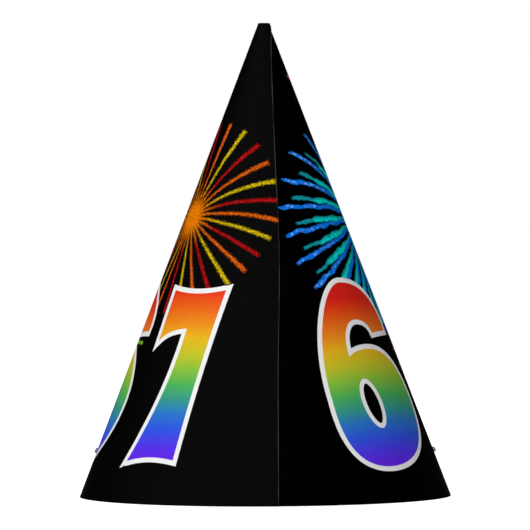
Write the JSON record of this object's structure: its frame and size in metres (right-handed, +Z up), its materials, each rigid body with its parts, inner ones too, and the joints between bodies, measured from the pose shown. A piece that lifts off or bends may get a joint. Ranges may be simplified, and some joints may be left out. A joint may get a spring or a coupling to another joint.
{
  "type": "cone party hat",
  "caption": "Rolled card cone party hat with a glossy printed outside, a lapped seam and a thin elastic chin cord held by barbs.",
  "frame": {"origin": "centre of the rim plane, on the cone's axis", "axes": "+Z up the cone's axis to the tip, the lapped seam faces -Y, and the two cord holes are on the +X and -X sides"},
  "size_m": [0.1397, 0.1399, 0.1778],
  "materials": {
    "printed_card": "gloss-coated black print outside, plain white card inside and on the cut edges",
    "adhesive_tape": "translucent double-sided tape",
    "cord_rubber": "raw latex rubber",
    "cord_braid": "fine black polyester braid",
    "barb_steel": "blackened steel with bright worn edges"
  },
  "bodies": {
    "hat": {"card_cone": "printed_card", "seam_tape": "adhesive_tape"},
    "chin_cord": {"elastic_core": "cord_rubber", "elastic_cover": "cord_braid"},
    "left_barb": {"left_end_barb": "barb_steel"},
    "right_barb": {"right_end_barb": "barb_steel"}
  },
  "joints": [
    {"name": "cord_swing", "type": "hinge", "parent": "hat", "child": "chin_cord", "pos_m": [0, 0, 0.0173], "axis": [1, 0, 0], "range_deg": [-160, 105]},
    {"name": "left_barb_turn", "type": "hinge", "parent": "hat", "child": "left_barb", "pos_m": [-0.06378, 0, 0.0173], "axis": [-0.9341, 0, 0.357], "range_deg": [-90, 90]},
    {"name": "right_barb_turn", "type": "hinge", "parent": "hat", "child": "right_barb", "pos_m": [0.06351, 0, 0.0173], "axis": [0.9341, 0, 0.357], "range_deg": [-90, 90]}
  ]
}
